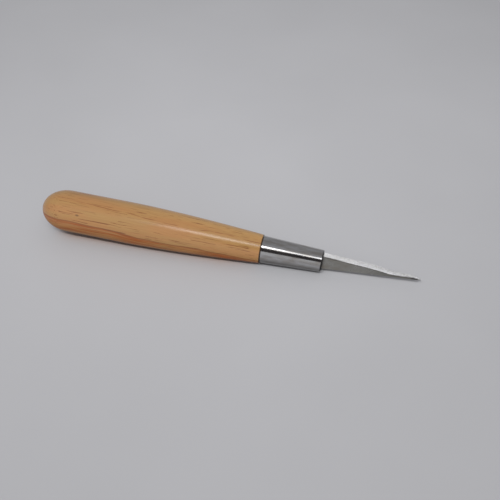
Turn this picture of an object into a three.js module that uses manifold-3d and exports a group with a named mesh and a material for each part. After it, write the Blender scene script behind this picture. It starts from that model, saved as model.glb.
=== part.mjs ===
// A potter's trimming knife: a turned wooden handle, a tapered steel ferrule, and a narrow
// blade with one ground bevel, whose tang is bedded in resin inside the handle.
// Sizes are in millimetres and angles in degrees. +Z is up and +X points to the blade's tip.

import * as THREE from 'three';
import { mergeVertices } from 'three/addons/utils/BufferGeometryUtils.js';
import Module from 'manifold-3d';

// Handle sizes. Stations along the knife are measured from the end of the butt.
const gripRadius = 8.88;
const buttLength = 11.8;
const taperStart = 39;
const taperPower = 1.6;
const restStart = 62; // start of the short straight cone that the knife lies on
const restEnd = 74;
const handleLength = 96.45;
const neckStep = 0.4; // how far the wood stands proud of the ferrule
const tenonLength = 17;
const boreRadius = 3.3;

// Ferrule sizes
const ferruleLength = 25.5;
const ferruleRearRadius = 5.69;
const ferruleMouthRadius = 4.57;
const ferruleWall = 0.4;
const lipRadius = 0.7;

// Blade sizes. Heights are measured from the knife's axis, in the plane of the blade. The
// clip, needle, point and thinning lengths are measured back from the tip.
const bladeLength = 40.15; // what stands out of the ferrule
const bladeThickness = 1.15;
const bevelAngle = 35.5;
const bladeRoll = 24; // lean of the blade away from the side that shows its bevel
const edgeRootHeight = 3.62;
const clipLength = 20.1; // from here on the edge turns in faster
const clipHeight = 2.7;
const needleLength = 12.1;
const needleHeight = 1.68;
const pointLength = 3.5;
const pointHeight = 1.42;
const tipHeight = 0.4;
const thinningLength = 16.5; // from here on the strip gets thinner
const tipThickness = 0.1;
const thinningPower = 0.6;
const backRootDepth = 3.12;
const backPower = 1.15;
const tangLength = 26;
const tangWidth = 4;

// Resin sizes
const mouthRecess = 2; // from the mouth down to the resin's face
const tangBed = 2; // resin behind the end of the tang

// Clearances
const fitGap = 0.3; // radial gap between turned pieces, and all round the tang
const seamGap = 0.3; // end gap between pieces that butt together

// Mesh fineness
const turnedSides = 32;
const buttSteps = 8;
const taperSteps = 4; // on each side of the straight cone
const lipSteps = 4;
const bladeSteps = 24;

// Stations that follow from the sizes
const ferruleRear = handleLength + seamGap;
const mouth = ferruleRear + ferruleLength;
const tenonEnd = handleLength + tenonLength;
const resinFace = mouth - mouthRecess;
const bladeShoulder = resinFace + seamGap;
const tangEnd = bladeShoulder - tangLength;
const resinEnd = tangEnd - fitGap - tangBed;
const boreEnd = resinEnd - seamGap;
const bladeLean = -THREE.MathUtils.degToRad(bladeRoll);

function ferruleRadius(station) {
  return THREE.MathUtils.mapLinear(
    station, ferruleRear, mouth, ferruleRearRadius, ferruleMouthRadius);
}

function ferruleBore(station) {
  return ferruleRadius(station) - ferruleWall;
}

function handleRadius(station) {
  const neckRadius = ferruleRearRadius + neckStep;
  const along = (station - taperStart) / (handleLength - taperStart);
  return gripRadius - (gripRadius - neckRadius) * Math.max(along, 0) ** taperPower;
}

// Evenly spaced values from start to end, both included.
function spread(start, end, steps) {
  return Array.from({ length: steps + 1 }, (_, i) => THREE.MathUtils.lerp(start, end, i / steps));
}

// A body turned about the X axis, from profile points (station, radius). The middles of its
// flat sides lie on the true round, and one of them faces straight down.
function turned(profile) {
  const halfSide = Math.PI / turnedSides;
  const points = profile.map(([station, radius]) => (
    new THREE.Vector2(radius / Math.cos(halfSide), station)));
  const body = new THREE.LatheGeometry(points, turnedSides, halfSide, 2 * Math.PI);
  return body.rotateZ(-Math.PI / 2);
}

function handleGeometry() {
  const butt = spread(0, Math.PI / 2, buttSteps).map((angle) => [
    buttLength * (1 - Math.cos(angle)),
    gripRadius * Math.sin(angle),
  ]);
  const taper = [
    ...spread(taperStart, restStart, taperSteps),
    ...spread(restEnd, handleLength, taperSteps),
  ].map((station) => [station, handleRadius(station)]);
  return turned([
    ...butt,
    ...taper,
    [handleLength, ferruleBore(ferruleRear) - fitGap],
    [tenonEnd, ferruleBore(tenonEnd) - fitGap],
    [tenonEnd, boreRadius],
    [boreEnd, boreRadius],
    [boreEnd, 0],
  ]);
}

function ferruleGeometry() {
  const lipCentre = [mouth - lipRadius, ferruleRadius(mouth - lipRadius) - lipRadius];
  const lipArc = (radius) => spread(Math.PI / 2, 0, lipSteps).map((angle) => [
    lipCentre[0] + radius * Math.cos(angle),
    lipCentre[1] + radius * Math.sin(angle),
  ]);
  const outerLip = lipArc(lipRadius);
  const innerLip = lipArc(lipRadius - ferruleWall).reverse();
  return turned([
    [ferruleRear, ferruleRadius(ferruleRear)],
    ...outerLip,
    ...innerLip,
    [ferruleRear, ferruleBore(ferruleRear)],
    [ferruleRear, ferruleRadius(ferruleRear)],
  ]);
}

// A plain block that spans two stations, with its middle on the X axis.
function block(start, end, height, thickness) {
  const box = new THREE.BoxGeometry(end - start, thickness, height);
  return box.translate((start + end) / 2, 0, 0);
}

// The blade is upright here: its back is below the axis, its edge above, and its bevel faces -Y.
function bladeStripGeometry() {
  const edge = new THREE.SplineCurve([
    new THREE.Vector2(0, edgeRootHeight),
    new THREE.Vector2(bladeLength - clipLength, clipHeight),
    new THREE.Vector2(bladeLength - needleLength, needleHeight),
    new THREE.Vector2(bladeLength - pointLength, pointHeight),
    new THREE.Vector2(bladeLength, tipHeight),
  ]);
  const backHeight = (x) => -backRootDepth * (1 - x / bladeLength) ** backPower;
  const thicknessAt = (x) => {
    const left = Math.min((bladeLength - x) / thinningLength, 1);
    return tipThickness + (bladeThickness - tipThickness) * left ** thinningPower;
  };

  const square = new THREE.Shape([
    new THREE.Vector2(0, 0),
    new THREE.Vector2(1, 0),
    new THREE.Vector2(1, 1),
    new THREE.Vector2(0, 1),
  ]);
  const strip = new THREE.ExtrudeGeometry(square, { depth: 1, steps: bladeSteps, bevelEnabled: false });

  // Each corner of the unit bar goes to its place: across runs from the bevelled face to the
  // far face, rise from the back to the edge, and along from the shoulder to the tip.
  const position = strip.attributes.position;
  for (let i = 0; i < position.count; i += 1) {
    const across = position.getX(i);
    const rise = position.getY(i);
    const along = position.getZ(i);
    const onEdge = edge.getPoint(along);
    const thickness = thicknessAt(onEdge.x);
    const bevelRun = thickness / Math.tan(THREE.MathUtils.degToRad(bevelAngle));
    const back = backHeight(onEdge.x);
    const height = back + rise * (onEdge.y - back - (1 - across) * bevelRun);
    const station = along === 0 ? bladeShoulder : mouth + onEdge.x;
    position.setXYZ(i, station, (across - 0.5) * thickness, height);
  }
  return strip;
}

const wasm = await Module();
wasm.setup();

function solidFrom(geometry) {
  geometry.deleteAttribute('normal');
  geometry.deleteAttribute('uv');
  const welded = mergeVertices(geometry, 1e-5);
  return new wasm.Manifold(new wasm.Mesh({
    numProp: 3,
    vertProperties: new Float32Array(welded.attributes.position.array),
    triVerts: new Uint32Array(welded.index.array),
  }));
}

function geometryFrom(solid) {
  const mesh = solid.getMesh();
  const geometry = new THREE.BufferGeometry();
  geometry.setAttribute('position', new THREE.BufferAttribute(mesh.vertProperties, 3));
  geometry.setIndex(new THREE.BufferAttribute(mesh.triVerts, 1));
  geometry.computeVertexNormals();
  return geometry;
}

function bladeGeometry() {
  const shoulderDepth = 1; // how deep the two bodies run into each other
  const tang = block(tangEnd, bladeShoulder + shoulderDepth, tangWidth, bladeThickness);
  return geometryFrom(solidFrom(bladeStripGeometry()).add(solidFrom(tang)));
}

// The resin fills the blind hole and the front of the ferrule, round the tang.
function resinGeometry() {
  const collarRear = tenonEnd + seamGap;
  const plugRadius = boreRadius - fitGap;
  const plug = turned([
    [resinEnd, 0],
    [resinEnd, plugRadius],
    [collarRear, plugRadius],
    [collarRear, ferruleBore(collarRear) - fitGap],
    [resinFace, ferruleBore(resinFace) - fitGap],
    [resinFace, 0],
  ]);
  const pastFace = 1;
  const slot = block(
    tangEnd - fitGap, resinFace + pastFace, tangWidth + 2 * fitGap, bladeThickness + 2 * fitGap);
  slot.rotateX(bladeLean);
  return geometryFrom(solidFrom(plug).subtract(solidFrom(slot)));
}

function piece(name, geometry, colour, roughness, metalness) {
  const material = new THREE.MeshStandardMaterial({ color: colour, roughness, metalness });
  const mesh = new THREE.Mesh(geometry, material);
  mesh.name = name;
  return mesh;
}

const handle = piece('handle', handleGeometry(), '#b0875c', 0.3, 0);
const ferrule = piece('ferrule', ferruleGeometry(), '#a6a8ab', 0.2, 1);
const blade = piece('blade', bladeGeometry(), '#8d8c88', 0.4, 1);
const resin = piece('tang_resin', resinGeometry(), '#7a6a50', 0.45, 0);
blade.rotation.x = bladeLean;

// The knife lies on the lowest side of its straight cone, so its axis dips by that side's slope.
const knife = new THREE.Group();
knife.add(handle, ferrule, blade, resin);
const restSlope = (handleRadius(restStart) - handleRadius(restEnd)) / (restEnd - restStart);
knife.rotation.y = Math.atan(restSlope);

// The origin is under the middle of the whole knife, on the table.
const bounds = new THREE.Box3().setFromObject(knife, true);
const middle = bounds.getCenter(new THREE.Vector3());
knife.position.set(-middle.x, -middle.y, -bounds.min.z);

const part = new THREE.Group();
part.add(knife);

export default part;
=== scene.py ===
# A potter's trimming knife: turned and lacquered wood, a polished steel ferrule and a
# ground blade, laid on a pale table. Sizes are in metres and angles in radians. The knife's
# own space has X along its axis from the butt, Z up and its bevel on the -Y side. Materials
# measure that space in millimetres.

import math

import bmesh
import bpy
from bpy.props import FloatProperty, FloatVectorProperty, IntProperty, PointerProperty
from bpy.types import Operator, Panel, PropertyGroup
from mathutils import Matrix, Vector, noise


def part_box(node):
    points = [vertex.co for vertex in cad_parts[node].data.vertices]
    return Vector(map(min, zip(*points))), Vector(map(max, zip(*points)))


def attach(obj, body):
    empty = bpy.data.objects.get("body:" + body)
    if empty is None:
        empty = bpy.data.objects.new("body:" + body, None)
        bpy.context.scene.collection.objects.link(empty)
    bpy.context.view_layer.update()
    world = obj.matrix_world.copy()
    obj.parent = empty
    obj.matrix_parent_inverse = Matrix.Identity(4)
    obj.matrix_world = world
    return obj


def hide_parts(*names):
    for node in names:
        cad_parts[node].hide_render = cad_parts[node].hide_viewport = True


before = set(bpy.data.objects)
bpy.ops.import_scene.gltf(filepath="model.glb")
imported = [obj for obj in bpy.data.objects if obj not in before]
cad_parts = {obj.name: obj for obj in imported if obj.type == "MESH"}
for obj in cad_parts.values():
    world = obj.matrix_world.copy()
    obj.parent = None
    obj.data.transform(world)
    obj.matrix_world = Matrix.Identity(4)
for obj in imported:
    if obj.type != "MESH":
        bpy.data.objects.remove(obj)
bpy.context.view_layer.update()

bl_info = {
    "name": "Trimming Knife",
    "version": (1, 0, 0),
    "blender": (4, 5, 0),
    "location": "View3D > Sidebar > Knife",
    "description": "Builds a potter's trimming knife in turned wood and ground steel",
    "category": "Object",
}

MM = 0.001
SKIN = 0.025 * MM  # how far the smooth handle lies inside the flat-sided one

# Mesh fineness
BUTT_STEPS = 36
TAPER_STEPS = 60
NECK_STEPS = 5
LIP_STEPS = 10
BLADE_STEPS = 220
WELD_DISTANCE = 1e-7
SMOOTH_UP_TO = math.radians(40)  # a corner that turns further than this stays sharp


# The knife's place, read from the frame

def corners(node):
    return [vertex.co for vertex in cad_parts[node].data.vertices]


def middle(node):
    """The mean of a turned piece's corners, which lies on its axis."""
    points = corners(node)
    return sum(points, Vector()) / len(points)


HANDLE_MIDDLE = middle("handle")
AXIS = (middle("ferrule") - HANDLE_MIDDLE).normalized()
DIP = math.atan2(-AXIS.z, AXIS.x)


def span(node, start=HANDLE_MIDDLE):
    """Where a node starts and ends, measured along the axis from a point of it."""
    along = [(point - start).dot(AXIS) for point in corners(node)]
    return min(along), max(along)


BUTT = HANDLE_MIDDLE + AXIS * span("handle")[0]
KNIFE_SPACE = Matrix.Translation(BUTT) @ Matrix.Rotation(DIP, 4, "Y")
TENON_END = span("handle", BUTT)[1]
FERRULE_REAR, MOUTH = span("ferrule", BUTT)
TANG_END, TIP = span("blade", BUTT)
RESIN_END, RESIN_FACE = span("tang_resin", BUTT)


def half_width(node):
    """The largest radius of a turned piece."""
    low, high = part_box(node)
    return (high.y - low.y) / 2


# Sizes and colours that a user would change

def size(name, description, millimetres):
    return FloatProperty(name=name, description=description, default=millimetres * MM,
                         min=0, unit="LENGTH", precision=5)


def angle(name, description, degrees):
    return FloatProperty(name=name, description=description, default=math.radians(degrees),
                         unit="ROTATION")


def power(name, description, value):
    return FloatProperty(name=name, description=description, default=value, min=0.1)


def linear(display):
    """One channel of a colour, from its 0 to 255 display value to the value that light has."""
    share = display / 255
    return share / 12.92 if share <= 0.04045 else ((share + 0.055) / 1.055) ** 2.4


def colour(name, description, red, green, blue):
    return FloatVectorProperty(name=name, description=description, min=0, max=1, subtype="COLOR",
                               default=(linear(red), linear(green), linear(blue)))


class KnifeSizes(PropertyGroup):
    """Sizes of the turned pieces and the blade."""

    sides: IntProperty(name="Sides", description="Sides of every turned piece",
                       default=192, min=32)

    wood_length: size("Wood length", "From the butt to the ferrule", 96.45)
    butt_length: size("Butt length", "Length of the round end", 11.8)
    taper_start: size("Taper start", "Where the grip begins to narrow", 39)
    taper_power: power("Taper power", "How late the grip narrows", 1.6)
    neck_step: size("Neck step", "How far the wood stands proud of the ferrule", 0.4)
    neck_round: size("Neck round", "Rounding of the wood's edge at the ferrule", 0.2)
    bore_radius: size("Bore radius", "Radius of the hole for the tang", 3.3)

    mouth_radius: size("Mouth radius", "Radius of the ferrule at its mouth", 4.57)
    ferrule_wall: size("Ferrule wall", "Thickness of the ferrule's steel", 0.4)
    lip_radius: size("Lip radius", "Radius of the ferrule's turned-in lip", 0.7)
    rim_bevel: size("Rim bevel", "Bevel on the ferrule's rear edge", 0.06)
    fit_gap: size("Fit gap", "Gap between the pieces", 0.3)

    blade_thickness: size("Blade thickness", "Thickness of the strip at its root", 1.15)
    tip_thickness: size("Tip thickness", "Thickness of the strip at its tip", 0.1)
    thinning_length: size("Thinning length", "From where the strip gets thinner to the tip", 16.5)
    thinning_power: power("Thinning power", "How early the strip gets thinner", 0.6)
    bevel_angle: angle("Bevel angle", "Angle between the bevel and the flat", 35.5)
    blade_roll: angle("Blade roll", "Lean of the blade away from its bevel's side", 24)
    back_root: size("Back root", "Depth of the back at the ferrule", 3.12)
    back_power: power("Back power", "How early the back rises toward the axis", 1.15)
    tang_width: size("Tang width", "Width of the hidden tang", 4)

    edge_root: size("Edge root", "Height of the edge at the ferrule", 3.62)
    clip_length: size("Clip length", "From the start of the clip to the tip", 20.1)
    clip_height: size("Clip height", "Height of the edge at the clip", 2.7)
    needle_length: size("Needle length", "From the start of the needle to the tip", 12.1)
    needle_height: size("Needle height", "Height of the edge at the needle's start", 1.68)
    point_length: size("Point length", "From the start of the point to the tip", 3.5)
    point_height: size("Point height", "Height of the edge at the point", 1.42)
    tip_height: size("Tip height", "Height of the edge at the tip", 0.4)
    edge_land: size("Edge land", "Width of the flat left along the edge", 0.03)
    edge_jag: size("Edge jag", "How far uneven grinding eats into the edge", 0.04)


class KnifeColours(PropertyGroup):
    """Colours of the knife and of the table that it lies on."""

    wood: colour("Wood", "Early wood under the lacquer", 178, 137, 82)
    warm_wood: colour("Warm wood", "Broad warmer streaks", 182, 132, 79)
    late_wood: colour("Late wood", "The reddish growth layer", 164, 88, 32)
    ring_line: colour("Ring line", "The thin dark line at a growth ring", 134, 80, 40)
    pore: colour("Pores", "The short dark pores of the wood", 126, 78, 38)
    # This colour also paints shade on the handle's underside
    soiled_and_shaded_wood: colour("Soiled wood", "Wood dark with glue, grime or a knot", 84, 60, 40)
    ferrule: colour("Ferrule", "Polished steel", 192, 192, 193)
    smear: colour("Smears", "Polished steel under fingermarks", 170, 166, 162)
    # The lip's dark colour is a painted dark reflection on the steel
    lip: colour("Lip", "The dark turned-in lip of the ferrule", 25, 24, 24)
    blade: colour("Blade", "Satin steel", 155, 154, 150)
    bevel: colour("Bevel", "Freshly ground steel", 226, 226, 228)
    # This colour is also painted shade on the ferrule's underside, where it mirrors the shaded
    # table
    dark_and_shaded_steel: colour("Dark steel", "The burr, and steel that faces the table", 70, 68, 64)
    resin: colour("Resin", "Cured adhesive", 122, 106, 80)
    table: colour("Table", "The pale table top", 193, 193, 196)


def sizes():
    return bpy.context.scene.knife_sizes


def colours():
    return bpy.context.scene.knife_colours


# Node helpers

def fill(tree, node, inputs):
    """Fills a node's inputs with plain values or from other nodes."""
    for key, value in inputs.items():
        if isinstance(value, bpy.types.NodeSocket):
            tree.links.new(value, node.inputs[key])
        else:
            node.inputs[key].default_value = value


def put(tree, kind, inputs=None, **settings):
    """Adds a node with these settings and inputs."""
    node = tree.nodes.new(kind)
    for name, value in settings.items():
        setattr(node, name, value)
    fill(tree, node, inputs or {})
    return node


def reckon(tree, operation, *values):
    return put(tree, "ShaderNodeMath", dict(enumerate(values)), operation=operation).outputs[0]


def total(tree, first, *others):
    for other in others:
        first = reckon(tree, "ADD", first, other)
    return first


def product(tree, first, *others):
    for other in others:
        first = reckon(tree, "MULTIPLY", first, other)
    return first


def remap(tree, value, low, high, to_low=0.0, to_high=1.0):
    """Runs evenly from to_low to to_high while the value runs from low to high, and no further."""
    inputs = {0: value, 1: low, 2: high, 3: to_low, 4: to_high}
    return put(tree, "ShaderNodeMapRange", inputs).outputs[0]


def split(tree, vector, axes="XYZ"):
    """The parts of a vector along the named axes."""
    parts = put(tree, "ShaderNodeSeparateXYZ", {0: vector})
    return [parts.outputs[axis] for axis in axes]


def join(tree, x, y, z):
    return put(tree, "ShaderNodeCombineXYZ", {0: x, 1: y, 2: z}).outputs[0]


def stretch(tree, vector, scales):
    return put(tree, "ShaderNodeVectorMath", {0: vector, 1: scales},
               operation="MULTIPLY").outputs[0]


def distance(tree, point, spot):
    return put(tree, "ShaderNodeVectorMath", {0: point, 1: spot},
               operation="DISTANCE").outputs["Value"]


def noise_value(tree, vector, scale=1.0, detail=2.0):
    inputs = {"Vector": vector, "Scale": scale, "Detail": detail}
    return put(tree, "ShaderNodeTexNoise", inputs).outputs["Fac"]


def mix(tree, share, first, second):
    """A colour between two, which are sockets or plain colours."""
    ends = [value if isinstance(value, bpy.types.NodeSocket) else (*value[:3], 1)
            for value in (first, second)]
    return put(tree, "ShaderNodeMix", {0: share, 6: ends[0], 7: ends[1]},
               data_type="RGBA").outputs[2]


def bump(tree, height, depth, strength=1.0):
    inputs = {"Height": height, "Distance": depth, "Strength": strength}
    return put(tree, "ShaderNodeBump", inputs).outputs[0]


def new_group(kind, name, inputs, outputs):
    """A node group with the given sockets, and its input and output nodes."""
    tree = bpy.data.node_groups.new(name, kind)
    for side, sockets in (("INPUT", inputs), ("OUTPUT", outputs)):
        for socket_name, socket_kind, default in sockets:
            socket = tree.interface.new_socket(socket_name, in_out=side, socket_type=socket_kind)
            if default is not None:
                socket.default_value = default
    return tree, put(tree, "NodeGroupInput"), put(tree, "NodeGroupOutput")


def shared(name):
    """Marks the maker of a node group, so that the group is made once and then used again."""
    def mark(make):
        def fetch():
            return bpy.data.node_groups.get(name) or make(name)
        return fetch
    return mark


# Shared effects

@shared("Stretched Marks")
def stretched_marks(name):
    """Fine marks drawn out along X, such as pores, scratches and grinding lines."""
    tree, given, result = new_group(
        "ShaderNodeTree", name,
        [("Vector", "NodeSocketVector", None),
         ("Length", "NodeSocketFloat", 6.0),
         ("Width", "NodeSocketFloat", 0.3),
         ("Coverage", "NodeSocketFloat", 0.4),
         ("Softness", "NodeSocketFloat", 0.05)],
        [("Mask", "NodeSocketFloat", None)])
    along = reckon(tree, "DIVIDE", 1.0, given.outputs["Length"])
    across = reckon(tree, "DIVIDE", 1.0, given.outputs["Width"])
    drawn_out = stretch(tree, given.outputs["Vector"], join(tree, along, across, across))
    edge = reckon(tree, "SUBTRACT", 1.0, given.outputs["Coverage"])
    full = reckon(tree, "ADD", edge, given.outputs["Softness"])
    mask = remap(tree, noise_value(tree, drawn_out), edge, full)
    fill(tree, result, {"Mask": mask})
    return tree


def marks(tree, vector, length, width, coverage, softness):
    inputs = {"Vector": vector, "Length": length, "Width": width, "Coverage": coverage,
              "Softness": softness}
    return put(tree, "ShaderNodeGroup", inputs, node_tree=stretched_marks()).outputs["Mask"]


def new_material(name):
    """A material with its shader, and the surface point in the knife's space in millimetres."""
    material = bpy.data.materials.new(name)
    material.use_nodes = True
    tree = material.node_tree
    tree.nodes.clear()
    shader = put(tree, "ShaderNodeBsdfPrincipled")
    put(tree, "ShaderNodeOutputMaterial", {"Surface": shader.outputs[0]})
    place = put(tree, "ShaderNodeTexCoord").outputs["Object"]
    to_knife = KNIFE_SPACE.inverted()
    inputs = {"Vector": place, "Location": to_knife.to_translation() / MM,
              "Rotation": (0, -DIP, 0), "Scale": (1 / MM,) * 3}
    point = put(tree, "ShaderNodeMapping", inputs, vector_type="POINT").outputs[0]
    return material, tree, shader, point


# The wood

LAYER_TILT = math.radians(15)
RING_SPACING = 8.0  # from the lower growth ring to the upper one
PIN_KNOT = Vector((18.6, -7.05, 5.4))
KNOT_SQUEEZE = Vector((0.5, 1, 1))  # it is twice as long as it is wide
# Painted light: the far side of the grip is painted brighter by this much
PAINTED_LIGHT_GAIN = 1.22  # how many times as bright as the early wood the far side gets


def growth_layer(tree, point, swell):
    """How high a point lies above the lower growth ring, across the tilted and wavy layers."""
    x, y, z = split(tree, point)
    up = product(tree, z, math.cos(LAYER_TILT))
    sideways = product(tree, y, math.sin(LAYER_TILT))
    ring_fall = remap(tree, x, 0, 100, -0.5, 3.3)
    wave = remap(tree, swell, 0.3, 0.7, 0.5, -0.5)
    rise_at_butt = remap(tree, x, 0, 14, 1.2, 0)
    return total(tree, up, sideways, ring_fall, wave, rise_at_butt)


def early_wood(tree, point):
    """Early wood in broad warm patches, with painted light on the far side that grows toward the
    steel.
    """
    x, y = split(tree, point, "XY")
    patches = noise_value(tree, stretch(tree, point, (0.03, 0.25, 0.25)))
    body = mix(tree, remap(tree, patches, 0.4, 0.6), colours().wood, colours().warm_wood)
    # Painted light: the far side is painted paler, more so toward the steel
    pale = product(tree, remap(tree, y, -2, 1), remap(tree, x, 20, 65))
    painted_lit_wood = tuple(value * PAINTED_LIGHT_GAIN for value in colours().wood)
    return mix(tree, pale, body, painted_lit_wood)


def late_wood(tree, point, layer):
    """The reddish late wood lies just under the ring and pales away below it, in streaks. The
    paling toward the lower limb is partly grain and partly painted bounce light from the table.
    """
    [x] = split(tree, point, "X")
    under_ring = remap(tree, layer, 0.3, -0.3)
    # Partly grain, partly painted bounce light: the late wood pales toward the lower limb
    paling_and_painted_bounce = remap(tree, layer, 0, -RING_SPACING, 1, 0.35)
    streaks = noise_value(tree, stretch(tree, join(tree, x, 0, layer), (0.04, 0, 1.1)))
    streaky = remap(tree, streaks, 0.38, 0.62, 0.15, 1.35)
    return product(tree, under_ring, paling_and_painted_bounce, streaky)


def ring_lines(tree, point, layer):
    """The thin dark lines of the lower ring, and of the upper one, which comes and goes."""
    [x] = split(tree, point, "X")
    lower = remap(tree, reckon(tree, "ABSOLUTE", layer), 0.4, 0.05, 0, 0.85)
    from_upper = reckon(tree, "ABSOLUTE", reckon(tree, "SUBTRACT", layer, RING_SPACING))
    coming = noise_value(tree, stretch(tree, point, (0.2, 0.8, 0.8)), detail=3.0)
    upper = product(tree, remap(tree, from_upper, 0.16, 0.03), remap(tree, x, 8, 28, 0.35, 1),
                    remap(tree, coming, 0.42, 0.6, 0.05, 0.9))
    return lower, upper


def wood_pores(tree, point):
    """Short dark dashes in clusters, which bend in with the butt and the taper.

    The very end of the butt has none.
    """
    [x] = split(tree, point, "X")
    slimness = product(tree, remap(tree, x, 2, 9, 1.6, 1), remap(tree, x, 45, 96, 1, 1.45))
    bent = stretch(tree, point, join(tree, 1, slimness, slimness))
    pores = marks(tree, bent, length=12.0, width=0.42, coverage=0.37, softness=0.02)
    clusters = noise_value(tree, stretch(tree, point, (0.05, 0.2, 0.2)))
    return product(tree, pores, remap(tree, clusters, 0.38, 0.54, 0.3, 1), remap(tree, x, 3, 6))


def soiled_and_shaded_places(tree, point):
    """One pin knot, the end that glue and handling darkened, and painted shade on the underside."""
    x, z = split(tree, point, "XZ")
    squeezed = stretch(tree, point, KNOT_SQUEEZE)
    from_knot = distance(tree, squeezed, PIN_KNOT * KNOT_SQUEEZE)
    knot = remap(tree, from_knot, 0.5, 0.25, 0, 0.65)
    joint = sizes().wood_length / MM
    glued_end = remap(tree, x, joint - 0.35, joint - 0.05)

    # The painted shade on the underside reaches higher where the grip narrows
    reach = remap(tree, x, 40, 90, 0, 1.8)
    painted_shade = remap(tree, reckon(tree, "SUBTRACT", z, reach), -4.2, -5.8, 0, 0.85)
    return knot, glued_end, painted_shade


def wood_material():
    """Straight-grained hardwood whose growth layers lie nearly level, under a clear lacquer."""
    material, tree, shader, point = new_material("lacquered_wood")
    [z] = split(tree, point, "Z")
    swell = noise_value(tree, stretch(tree, point, (0.04, 0.06, 0.06)))
    layer = growth_layer(tree, point, swell)
    pores = wood_pores(tree, point)
    fibres = noise_value(tree, stretch(tree, point, (0.05, 4.0, 4.0)))

    body = early_wood(tree, point)
    body = mix(tree, late_wood(tree, point, layer), body, colours().late_wood)
    for line in ring_lines(tree, point, layer):
        body = mix(tree, line, body, colours().ring_line)
    body = mix(tree, pores, body, colours().pore)
    body = mix(tree, remap(tree, fibres, 0.35, 0.65, 0, 0.2), body, colours().ring_line)
    # The knot and the glued end are soiled wood; the darker underside is painted shade
    for soiling_and_shade in soiled_and_shaded_places(tree, point):
        body = mix(tree, soiling_and_shade, body, colours().soiled_and_shaded_wood)

    # The lacquer shines most on top and along the lower limb, which mirrors the table
    gloss = reckon(tree, "MAXIMUM", remap(tree, z, -1, 2.5, 0.25, 0.9),
                   remap(tree, z, -4.5, -6, 0.25, 0.9))
    brush_waves = noise_value(tree, stretch(tree, point, (0.15, 0.5, 0.5)), detail=1.0)
    relief = reckon(tree, "SUBTRACT", fibres, pores)
    fill(tree, shader, {
        "Base Color": body,
        "Roughness": remap(tree, fibres, 0.3, 0.7, 0.42, 0.55),
        "Specular IOR Level": 0.05,
        "Normal": bump(tree, relief, 0.008 * MM),
        "Coat Weight": gloss,
        "Coat IOR": 1.8,
        "Coat Roughness": remap(tree, swell, 0.3, 0.7, 0.18, 0.24),
        "Coat Normal": bump(tree, brush_waves, 0.03 * MM),
    })
    return material


# The steel and the resin

BEVEL_SHEET = "bevel_distances"  # the blade's map of distances past the ferrule and below the bevel


def ferrule_material():
    """Polished steel with fingermarks, fine lines along it and a few handling scratches, with
    painted shade on its underside.
    """
    material, tree, shader, point = new_material("polished_steel")
    x, z = split(tree, point, "XZ")
    drawn_lines = marks(tree, point, length=12.0, width=0.14, coverage=0.5, softness=0.3)
    scratches = marks(tree, point, length=5.0, width=0.1, coverage=0.28, softness=0.04)
    smears = noise_value(tree, stretch(tree, point, (0.22, 0.7, 0.7)), detail=4.0)
    # Painted shade: the lower ferrule is darkened where it would mirror the shaded table
    painted_shade_underneath = remap(tree, z, 1.0, -1.2, 0, 0.65)
    # Painted dark reflection: the turned-in lip is darkened, most of all low down
    lip_start = (MOUTH - sizes().lip_radius) / MM
    lip = product(tree, remap(tree, x, lip_start - 0.1, lip_start + 0.15, 0, 0.95),
                  remap(tree, z, 4, 2, 0.3, 1))

    body = mix(tree, remap(tree, smears, 0.35, 0.65), colours().ferrule, colours().smear)
    body = mix(tree, product(tree, scratches, 0.35), body, colours().smear)
    body = mix(tree, painted_shade_underneath, body, colours().dark_and_shaded_steel)
    body = mix(tree, lip, body, colours().lip)
    smeared_rough = remap(tree, smears, 0.35, 0.65, 0.1, 0.17)
    fill(tree, shader, {
        "Base Color": body,
        "Metallic": 1,
        "Roughness": total(tree, smeared_rough, product(tree, scratches, 0.1)),
        "Normal": bump(tree, total(tree, drawn_lines, scratches), 0.001 * MM),
    })
    return material


def bevel_distances(tree):
    """How far a point of the blade lies past the ferrule and below the bevel, in millimetres."""
    sheet = put(tree, "ShaderNodeUVMap", uv_map=BEVEL_SHEET).outputs[0]
    return split(tree, sheet, "XY")


def blade_material():
    """Satin steel strip, faintly lined and stained, with a dark burr and bright nicks."""
    material, tree, shader, point = new_material("satin_steel")
    past, below = bevel_distances(tree)
    lines = marks(tree, point, length=6.0, width=0.1, coverage=0.5, softness=0.2)
    stains = noise_value(tree, stretch(tree, point, (0.2, 0.5, 0.5)), detail=4.0)
    stained = product(tree, remap(tree, stains, 0.4, 0.7, 0, 0.4), remap(tree, past, 4, 14, 1, 0.4))
    narrow_part = remap(tree, past, 17, 25, 0, 0.3)

    # The burr runs along the bevel's lower border and round the point
    burr = reckon(tree, "MAXIMUM", remap(tree, below, 0.32, 0.1, 0, 0.7),
                  remap(tree, past, 35.9, 36.6, 0, 0.8))
    ragged = product(tree, noise_value(tree, point, scale=1.6, detail=3.0),
                     remap(tree, past, 20, 30, -0.1, 0.3))
    nicks = remap(tree, reckon(tree, "SUBTRACT", ragged, below), 0, 0.06)

    body = mix(tree, stained, colours().blade, colours().resin)
    body = mix(tree, narrow_part, body, colours().dark_and_shaded_steel)
    body = mix(tree, burr, body, colours().dark_and_shaded_steel)
    body = mix(tree, nicks, body, colours().bevel)
    fill(tree, shader, {
        "Base Color": body,
        "Metallic": 1,
        "Roughness": remap(tree, stains, 0.3, 0.7, 0.24, 0.38),
        "Normal": bump(tree, lines, 0.002 * MM),
    })
    return material


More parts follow.
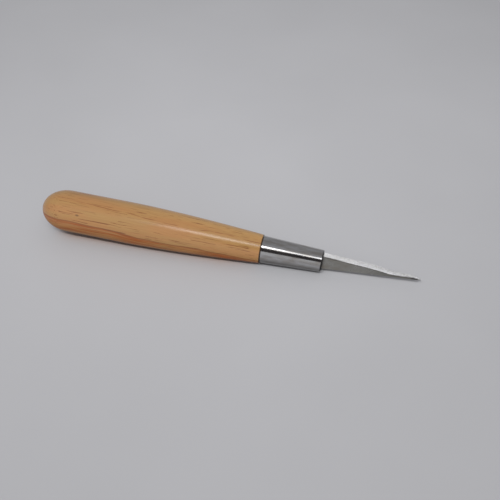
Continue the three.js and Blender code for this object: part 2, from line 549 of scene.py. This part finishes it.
def bevel_material():
    """The ground bevel: bright, coarse, and scored across by the wheel."""
    material, tree, shader, point = new_material("ground_steel")
    past, below = bevel_distances(tree)
    skew = {"Vector": point, "Rotation": (0, 0, math.radians(70))}
    across = put(tree, "ShaderNodeMapping", skew).outputs[0]
    scores = marks(tree, across, length=2.5, width=0.14, coverage=0.5, softness=0.15)
    grit = noise_value(tree, point, scale=2.4, detail=4.0)
    coarse = remap(tree, past, 2, 18, 0.45, 1)

    # It is duller along its upper border, at the root, along the needle and where grit shows
    upper = product(tree, remap(tree, below, -0.3, -1.3, 0, 0.3), remap(tree, past, 4, 14, 0.2, 1))
    root = remap(tree, past, 8, 14, 0.3, 0)
    needle = product(tree, remap(tree, past, 26, 36, 0, 0.3), remap(tree, past, 37, 38, 1, 0))
    speckle = product(tree, remap(tree, grit, 0.56, 0.36, 0, 0.4), coarse)
    dull = total(tree, upper, root, needle, speckle)
    root_line = product(tree, remap(tree, below, -0.35, -0.1, 0, 0.9), remap(tree, past, 10, 5))

    body = mix(tree, dull, colours().bevel, colours().blade)
    body = mix(tree, root_line, body, colours().dark_and_shaded_steel)
    fill(tree, shader, {
        "Base Color": body,
        "Metallic": 1,
        "Roughness": remap(tree, grit, 0.3, 0.7, 0.42, 0.3),
        "Normal": bump(tree, total(tree, scores, grit), 0.02 * MM, coarse),
    })
    return material


def resin_material():
    """Amber adhesive, a little cloudy."""
    material, tree, shader, point = new_material("cured_resin")
    cloud = noise_value(tree, point, scale=0.8, detail=3.0)
    darker = tuple(value * 0.6 for value in colours().resin)
    fill(tree, shader, {
        "Base Color": mix(tree, cloud, darker, colours().resin),
        "Roughness": remap(tree, cloud, 0, 1, 0.2, 0.45),
        "Normal": bump(tree, cloud, 0.1 * MM),
    })
    return material


# Shapes

def link_new(name, data):
    piece = bpy.data.objects.new(name, data)
    bpy.context.scene.collection.objects.link(piece)
    return piece


def spread(start, end, steps):
    """Evenly spaced values from start to end, both included."""
    return [start + (end - start) * i / steps for i in range(steps + 1)]


def arc(centre, radius, start, end, steps):
    """Points (station, radius) along a round corner, angles counted from the axis's direction."""
    return [(centre[0] + radius * math.cos(turn), centre[1] + radius * math.sin(turn))
            for turn in spread(start, end, steps)]


def spline(points, share):
    """A point on the smooth curve through the given points, with share from 0 to 1."""
    place = share * (len(points) - 1)
    i = min(int(place), len(points) - 2)
    t = place - i
    p0, p1 = points[max(i - 1, 0)], points[i]
    p2, p3 = points[i + 1], points[min(i + 2, len(points) - 1)]

    def along(a, b, c, d):
        enter, leave = (c - a) / 2, (d - b) / 2
        return ((2 * b - 2 * c + enter + leave) * t ** 3
                + (3 * c - 3 * b - 2 * enter - leave) * t ** 2 + enter * t + b)
    return tuple(along(*values) for values in zip(p0, p1, p2, p3))


@shared("Turned Body")
def turning_tree(name):
    """Turns an outline of (station, 0, radius) points about the X axis."""
    tree, given, result = new_group(
        "GeometryNodeTree", name,
        [("Outline", "NodeSocketGeometry", None),
         ("Sides", "NodeSocketInt", 64),
         ("Material", "NodeSocketMaterial", None)],
        [("Body", "NodeSocketGeometry", None)])

    # A flat sheet has a row of points for each outline point, and a column for each side and
    # one more that closes the round
    outline, sides = given.outputs["Outline"], given.outputs["Sides"]
    count = put(tree, "GeometryNodeAttributeDomainSize", {0: outline}).outputs["Point Count"]
    last = reckon(tree, "SUBTRACT", count, 1)
    sheet = put(tree, "GeometryNodeMeshGrid",
                {"Size X": last, "Size Y": sides, "Vertices X": count,
                 "Vertices Y": reckon(tree, "ADD", sides, 1)}).outputs["Mesh"]

    # Each point of the sheet finds its outline point by its row, and its turn by its column
    position = put(tree, "GeometryNodeInputPosition").outputs[0]
    sheet_x, sheet_y = split(tree, position, "XY")
    row = reckon(tree, "ADD", sheet_x, product(tree, last, 0.5))
    index = put(tree, "FunctionNodeFloatToInt", {0: row}, rounding_mode="ROUND").outputs[0]
    sample = put(tree, "GeometryNodeSampleIndex",
                 {"Geometry": outline, "Index": index}, data_type="FLOAT_VECTOR")
    fill(tree, sample, {"Value": position})
    station, radius = split(tree, sample.outputs[0], "XZ")
    share = reckon(tree, "DIVIDE", total(tree, sheet_y, product(tree, sides, 0.5)), sides)
    turn = product(tree, share, 2 * math.pi)
    turned = join(tree, station, product(tree, radius, reckon(tree, "SINE", turn)),
                  product(tree, radius, reckon(tree, "COSINE", turn)))

    moved = put(tree, "GeometryNodeSetPosition", {"Geometry": sheet, "Position": turned})
    welded = put(tree, "GeometryNodeMergeByDistance",
                 {"Geometry": moved.outputs[0], "Distance": WELD_DISTANCE})
    smooth = put(tree, "GeometryNodeSetShadeSmooth", {"Geometry": welded.outputs[0]})
    real = put(tree, "GeometryNodeRealizeInstances", {"Geometry": smooth.outputs[0]})
    dressed = put(tree, "GeometryNodeSetMaterial",
                  {"Geometry": real.outputs[0], "Material": given.outputs["Material"]})
    fill(tree, result, {"Body": dressed.outputs[0]})
    return tree


def turned_piece(name, outline, material):
    """A smooth turned body, as a plain mesh that lies where the knife lies."""
    mesh = bpy.data.meshes.new(name)
    mesh.from_pydata([(station, 0, radius) for station, radius in outline],
                     [(i, i + 1) for i in range(len(outline) - 1)], [])
    piece = link_new(name, mesh)
    turning = piece.modifiers.new("Turning", "NODES")
    turning.node_group = turning_tree()
    values = {"Sides": sizes().sides, "Material": material}
    for item in turning.node_group.interface.items_tree:
        if item.item_type == "SOCKET" and item.in_out == "INPUT" and item.name in values:
            turning[item.identifier] = values[item.name]
    evaluated = piece.evaluated_get(bpy.context.evaluated_depsgraph_get())
    body = bpy.data.meshes.new_from_object(evaluated)
    piece.modifiers.clear()
    piece.data = body
    body.name = name
    body.set_sharp_from_angle(angle=SMOOTH_UP_TO)
    body.transform(KNIFE_SPACE)
    return piece


def ferrule_radius(station):
    """The outside of the ferrule, which narrows evenly from its rear to its mouth."""
    rear = half_width("ferrule")
    slope = (rear - sizes().mouth_radius) / (MOUTH - FERRULE_REAR)
    return rear - slope * (station - FERRULE_REAR)


def handle_outline():
    """From the end of the butt over the grip, round the tenon and back to the hole's end."""
    s = sizes()
    grip = half_width("handle") - SKIN
    neck = half_width("ferrule") + s.neck_step - SKIN

    def radius(station):
        along = max((station - s.taper_start) / (s.wood_length - s.taper_start), 0)
        return grip - (grip - neck) * along ** s.taper_power

    butt = [(s.butt_length - (s.butt_length - SKIN) * math.cos(turn), grip * math.sin(turn))
            for turn in spread(0, math.pi / 2, BUTT_STEPS)]
    taper_end = s.wood_length - s.neck_round
    taper = [(station, radius(station))
             for station in spread(s.taper_start, taper_end, TAPER_STEPS)]
    neck_centre = (taper_end, radius(taper_end) - s.neck_round)
    neck_edge = arc(neck_centre, s.neck_round, math.pi / 2, 0, NECK_STEPS)[1:]
    inset = s.ferrule_wall + s.fit_gap
    tenon = [(s.wood_length, ferrule_radius(FERRULE_REAR) - inset),
             (TENON_END, ferrule_radius(TENON_END) - inset)]
    hole_end = RESIN_END - s.fit_gap
    hole = [(TENON_END, s.bore_radius), (hole_end, s.bore_radius), (hole_end, 0)]
    return [*butt, *taper, *neck_edge, *tenon, *hole]


def ferrule_outline():
    """Once round the ferrule's wall, starting and ending at its inner rear corner."""
    s = sizes()
    lip_station = MOUTH - s.lip_radius
    lip_centre = (lip_station, ferrule_radius(lip_station) - s.lip_radius)
    outer_lip = arc(lip_centre, s.lip_radius, math.pi / 2, 0, LIP_STEPS)
    inner_lip = arc(lip_centre, s.lip_radius - s.ferrule_wall, 0, math.pi / 2, LIP_STEPS // 2)
    rear = ferrule_radius(FERRULE_REAR)
    past_rim = FERRULE_REAR + s.rim_bevel
    rear_edge = [(FERRULE_REAR, rear - s.ferrule_wall), (FERRULE_REAR, rear - s.rim_bevel),
                 (past_rim, ferrule_radius(past_rim))]
    return [*rear_edge, *outer_lip, *inner_lip, rear_edge[0]]


# The blade's cross-sections have five corners, counted from the back of the near face. The
# bevel lies between the ridge and the edge, and has a material slot of its own.
RIDGE, EDGE = 1, 2
STRIP_SLOT, BEVEL_SLOT = 0, 1
EDGE_WAVES, RIDGE_WAVES = 900, 450  # waves that uneven grinding leaves there, per metre
RIDGE_WAVER = 0.03  # the share by which the bevel gets wider or narrower


def blade_edge():
    """The cutting edge, as distances past the ferrule and heights above the axis."""
    s = sizes()
    length = TIP - MOUTH
    return [
        (0, s.edge_root),
        (length - s.clip_length, s.clip_height),
        (length - s.needle_length, s.needle_height),
        (length - s.point_length, s.point_height),
        (length, s.tip_height),
    ]


def blade_section(share):
    """The station and the corners of the strip, at a share of the way along its edge."""
    s = sizes()
    length = TIP - MOUTH
    past, top = spline(blade_edge(), share)
    left = min(max(length - past, 0) / s.thinning_length, 1)
    thickness = s.tip_thickness + (s.blade_thickness - s.tip_thickness) * left ** s.thinning_power
    back = -s.back_root * max(1 - past / length, 0) ** s.back_power
    unevenness = 1 + noise.noise((past * EDGE_WAVES, 0, 0))
    fades_at_tip = min(left * 2, 1)
    top -= s.edge_jag * unevenness * fades_at_tip
    waver = 1 + RIDGE_WAVER * noise.noise((past * RIDGE_WAVES, 5, 0))
    ridge = top - thickness / math.tan(s.bevel_angle) * waver
    near, far = -thickness / 2, thickness / 2
    return past + MOUTH, [(near, back), (near, ridge), (far - s.edge_land, top - s.edge_land),
                          (far, top - s.edge_land), (far, back)]


def tang_section(station):
    """The corners of the tang, a little thinner than the blade."""
    s = sizes()
    land = s.edge_land
    near, far = -s.blade_thickness / 2 + land, s.blade_thickness / 2 - land
    low, high = -s.tang_width / 2, s.tang_width / 2
    return station, [(near, low), (near, high - land), (near + land, high), (far, high), (far, low)]


def blade_sections():
    """All cross-sections, from the end of the tang over the shoulder to the tip."""
    shoulder = RESIN_FACE + sizes().fit_gap
    strip = [blade_section(share) for share in spread(0, 1, BLADE_STEPS)]
    root = strip[0][1]
    return [tang_section(TANG_END), tang_section(shoulder), (shoulder, root), *strip]


def blade_mesh():
    """Joins the cross-sections with faces, each between a corner and the one before it."""
    shape = bmesh.new()
    rings = [[shape.verts.new((station, y, z)) for y, z in section]
             for station, section in blade_sections()]
    sheet = shape.loops.layers.uv.new(BEVEL_SHEET)
    ridge_height = {vertex: ring[RIDGE].co.z for ring in rings for vertex in ring}
    for here, there in zip(rings, rings[1:]):
        on_tang = here is rings[0]
        for i in range(len(here)):
            face = shape.faces.new((here[i], there[i], there[i - 1], here[i - 1]))
            face.material_index = BEVEL_SLOT if i == EDGE and not on_tang else STRIP_SLOT
            for loop in face.loops:
                place = loop.vert.co
                below = ridge_height[loop.vert] - place.z
                loop[sheet].uv = (place.x - MOUTH) / MM, below / MM
    shape.faces.new(rings[0])
    shape.faces.new(reversed(rings[-1]))
    bmesh.ops.recalc_face_normals(shape, faces=shape.faces)
    mesh = bpy.data.meshes.new("steel_blade")
    shape.to_mesh(mesh)
    shape.free()
    mesh.materials.append(blade_material())
    mesh.materials.append(bevel_material())
    mesh.transform(KNIFE_SPACE @ Matrix.Rotation(-sizes().blade_roll, 4, "X"))
    return mesh


# Pieces

def stand_for(piece, node):
    """Shows the piece in place of a node."""
    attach(piece, "root")
    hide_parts(node)


def need(passed, message):
    """Stops the script with a plain message when something can't be built."""
    if not passed:
        raise RuntimeError(message)


class KNIFE_OT_handle(Operator):
    """Turns the wooden handle, with its hidden tenon and the blind hole for the tang"""

    bl_idname = "knife.handle"
    bl_label = "Handle"

    def execute(self, context):
        s = sizes()
        need(s.wood_length > s.taper_start > s.butt_length,
             "The handle's stations are out of order")
        piece = turned_piece("wooden_handle", handle_outline(), wood_material())
        stand_for(piece, "handle")
        return {"FINISHED"}


class KNIFE_OT_ferrule(Operator):
    """Draws the tapered steel ferrule, with its front edge turned in as a round lip"""

    bl_idname = "knife.ferrule"
    bl_label = "Ferrule"

    def execute(self, context):
        need(sizes().lip_radius > sizes().ferrule_wall, "The lip is tighter than the wall is thick")
        piece = turned_piece("steel_ferrule", ferrule_outline(), ferrule_material())
        stand_for(piece, "ferrule")
        return {"FINISHED"}


class KNIFE_OT_blade(Operator):
    """Grinds the blade, a strip with one bevel, and the tang that holds it"""

    bl_idname = "knife.blade"
    bl_label = "Blade"

    def execute(self, context):
        need(TIP - MOUTH > sizes().clip_length, "The clip is longer than the blade")
        piece = link_new("steel_blade", blade_mesh())
        stand_for(piece, "blade")
        return {"FINISHED"}


class KNIFE_OT_resin(Operator):
    """Gives the resin round the tang its cloudy amber finish"""

    bl_idname = "knife.resin"
    bl_label = "Resin"

    def execute(self, context):
        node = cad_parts["tang_resin"]
        need(node.material_slots, "The resin has no material slot")
        material = resin_material()
        for slot in node.material_slots:
            slot.material = material
        return {"FINISHED"}


# Table, light and camera

TABLE_HALF = 2.5
# The middle of the table's painted pool of light
PAINTED_LIGHT_CENTRE = ((HANDLE_MIDDLE - BUTT).length / MM, 55, 0)  # in the knife's millimetres
BLACK = (0, 0, 0)

CAMERA_AZIMUTH = math.radians(12.87)
CAMERA_ELEVATION = math.radians(45)
CAMERA_DISTANCE = 0.2994
CAMERA_AIM = Vector((0.00923, 0.0043, 0.00032))
CAMERA_LENS = 50.4
NEAREST_SEEN = 0.01

# Every lamp hangs this far from the knife, leant toward the viewer from straight above
LAMP_AWAY = 3.6
OVERHEAD_LEAN = math.radians(24.5)
OVERHEAD_SPREAD = math.radians(11)
OVERHEAD_LAMPS = {  # left end, right end and watts of the lamp that each piece mirrors
    "wood": (-0.37, 0.27, 7),
    "ferrule": (0.27, 0.6, 0.64),
    "blade": (0.6, 1.9, 11),
}
KEY_LEAN = math.radians(32.5)
KEY_SPREAD = math.radians(4)
KEY_REACH = 1.2  # to each side
KEY_WATTS = 73

CARD_HALF = 0.08
CARD_BEHIND = 0.01  # how far the card's middle lies behind the camera
CARD_BELOW = 0.019  # and below its line of sight
CARD_COLOUR = (0.1, 0.088, 0.088, 1)

BACK_WALL, FRONT_WALL = (0.38, 0.38, 0.39), (0.46, 0.46, 0.47)
MIRRORED_BACK, MIRRORED_FRONT = (0.33, 0.33, 0.34), (0.55, 0.55, 0.56)


def square(name, centre, half, side, rise, material):
    """A flat square of the stage, which reaches half its width each way from its centre."""
    spots = [centre + side * (x * half) + rise * (y * half)
             for x, y in ((-1, -1), (1, -1), (1, 1), (-1, 1))]
    mesh = bpy.data.meshes.new(name)
    mesh.from_pydata(spots, [], [(0, 1, 2, 3)])
    mesh.materials.append(material)
    piece = link_new(name, mesh)
    return piece


def table_material():
    """A pale table top, cloudy, with a painted pool of light that darkens it toward its edges, and
    painted warm bounce light from the wood where the handle lies.
    """
    material, tree, shader, point = new_material("table_top")
    x, y = split(tree, point, "XY")
    cloud = noise_value(tree, point, scale=0.012, detail=3.0)
    shade = tuple(value * 0.96 for value in colours().table)
    body = mix(tree, remap(tree, cloud, 0.3, 0.7), shade, colours().table)
    # Painted light: the table darkens away from a pool of light by the handle
    painted_light_falloff = remap(tree, distance(tree, point, PAINTED_LIGHT_CENTRE), 40, 260, 0, 0.2)
    body = mix(tree, painted_light_falloff, body, BLACK)

    # Painted warm bounce light from the wood, on the table close to the handle
    close = reckon(tree, "POWER", remap(tree, reckon(tree, "ABSOLUTE", y), 15, 4), 4.0)
    painted_bounce = product(tree, close, remap(tree, x, 4, 14), remap(tree, x, 96, 80))
    red, green, blue = colours().table
    body = mix(tree, painted_bounce, body, (red, green * 0.8, blue * 0.7))
    fill(tree, shader, {
        "Base Color": body,
        "Roughness": remap(tree, cloud, 0, 1, 0.55, 0.7),
    })
    return material


def make_table():
    side, away = Vector((1, 0, 0)), Vector((0, 1, 0))
    square("table_top", Vector(), TABLE_HALF, side, away, table_material())


def make_lamp(name, lean, lamp_spread, left, right, watts):
    """An area lamp between two sideways places, as tall as its spread seen from the knife."""
    light = bpy.data.lights.new(name, "AREA")
    light.shape = "RECTANGLE"
    light.size = right - left
    light.size_y = 2 * LAMP_AWAY * math.tan(lamp_spread / 2)
    light.energy = watts
    lamp = link_new(name, light)
    lamp.location = ((left + right) / 2, -LAMP_AWAY * math.sin(lean), LAMP_AWAY * math.cos(lean))
    lamp.rotation_euler = (lean, 0, 0)
    return lamp


def make_lamps():
    """A key lamp that casts the shadow, and overhead lamps whose highlights the pieces show."""
    for part, (left, right, watts) in OVERHEAD_LAMPS.items():
        make_lamp("overhead_lamp_" + part, OVERHEAD_LEAN, OVERHEAD_SPREAD, left, right, watts)
    key = make_lamp("soft_key", KEY_LEAN, KEY_SPREAD, -KEY_REACH, KEY_REACH, KEY_WATTS)
    key.visible_glossy = False


def camera_back():
    """The direction from the knife to the camera."""
    level = math.cos(CAMERA_ELEVATION)
    return Vector((math.sin(CAMERA_AZIMUTH) * level, -math.cos(CAMERA_AZIMUTH) * level,
                   math.sin(CAMERA_ELEVATION)))


def make_card():
    """A dark card behind the camera, which only mirrors see."""
    back = camera_back()
    side = back.cross(Vector((0, 0, 1))).normalized()
    rise = side.cross(back)
    material = bpy.data.materials.new("dark_card")
    material.use_nodes = True
    shader = material.node_tree.nodes["Principled BSDF"]
    fill(material.node_tree, shader, {"Base Color": CARD_COLOUR, "Roughness": 1})
    centre = CAMERA_AIM + back * (CAMERA_DISTANCE + CARD_BEHIND) - rise * CARD_BELOW
    card = square("dark_card", centre, CARD_HALF, side, rise, material)
    card.visible_camera = False
    card.visible_diffuse = False
    card.visible_shadow = False


def make_room():
    """Pale walls, black at floor level. Mirrored ones are plainer, and dark past the tip.

    The camera sees the table's colour all round.
    """
    world = bpy.data.worlds.new("room")
    bpy.context.scene.world = world
    world.use_nodes = True
    tree = world.node_tree
    tree.nodes.clear()
    x, y, z = split(tree, put(tree, "ShaderNodeTexCoord").outputs["Generated"])
    front = remap(tree, y, 0.1, -0.7)
    low_walls = product(tree, remap(tree, z, 0.5, 0), remap(tree, front, 0, 1, 1, 0.95))
    walls = mix(tree, front, BACK_WALL, FRONT_WALL)
    walls = mix(tree, low_walls, walls, BLACK)
    past_the_tip = remap(tree, x, 0.4, 0.65, 0, 0.92)
    mirrored = mix(tree, front, MIRRORED_BACK, MIRRORED_FRONT)
    mirrored = mix(tree, past_the_tip, mirrored, BLACK)
    path = put(tree, "ShaderNodeLightPath")
    seen = mix(tree, path.outputs["Is Glossy Ray"], walls, mirrored)
    seen = mix(tree, path.outputs["Is Camera Ray"], seen, colours().table)
    background = put(tree, "ShaderNodeBackground", {"Color": seen})
    put(tree, "ShaderNodeOutputWorld", {"Surface": background.outputs[0]})


def make_camera():
    camera = link_new("camera", bpy.data.cameras.new("camera"))
    back = camera_back()
    camera.location = CAMERA_AIM + back * CAMERA_DISTANCE
    camera.rotation_euler = (-back).to_track_quat("-Z", "Y").to_euler()
    camera.data.lens = CAMERA_LENS
    camera.data.clip_start = NEAREST_SEEN
    bpy.context.scene.camera = camera


class KNIFE_OT_stage(Operator):
    """Lays out the table, the lamps, the dark card that the steel mirrors, and the camera"""

    bl_idname = "knife.stage"
    bl_label = "Table, light and camera"

    def execute(self, context):
        make_table()
        make_lamps()
        make_card()
        make_room()
        make_camera()
        context.scene.view_settings.view_transform = "Standard"
        return {"FINISHED"}


# Panel and registration

OPERATORS = (KNIFE_OT_handle, KNIFE_OT_ferrule, KNIFE_OT_blade, KNIFE_OT_resin, KNIFE_OT_stage)


class KNIFE_PT_build(Panel):
    """Lists the knife's pieces, sizes and colours"""

    bl_label = "Trimming Knife"
    bl_idname = "KNIFE_PT_build"
    bl_space_type = "VIEW_3D"
    bl_region_type = "UI"
    bl_category = "Knife"

    def draw(self, context):
        for operator in OPERATORS:
            self.layout.operator(operator.bl_idname)
        for group in (sizes(), colours()):
            box = self.layout.box()
            for name in group.__annotations__:
                box.prop(group, name)


CLASSES = (KnifeSizes, KnifeColours, *OPERATORS, KNIFE_PT_build)


def register():
    for item in CLASSES:
        bpy.utils.register_class(item)
    bpy.types.Scene.knife_sizes = PointerProperty(type=KnifeSizes)
    bpy.types.Scene.knife_colours = PointerProperty(type=KnifeColours)


def unregister():
    del bpy.types.Scene.knife_colours
    del bpy.types.Scene.knife_sizes
    for item in reversed(CLASSES):
        bpy.utils.unregister_class(item)


def main():
    register()
    for operator in OPERATORS:
        group, action = operator.bl_idname.split(".")
        getattr(getattr(bpy.ops, group), action)()


if __name__ == "__main__":
    main()
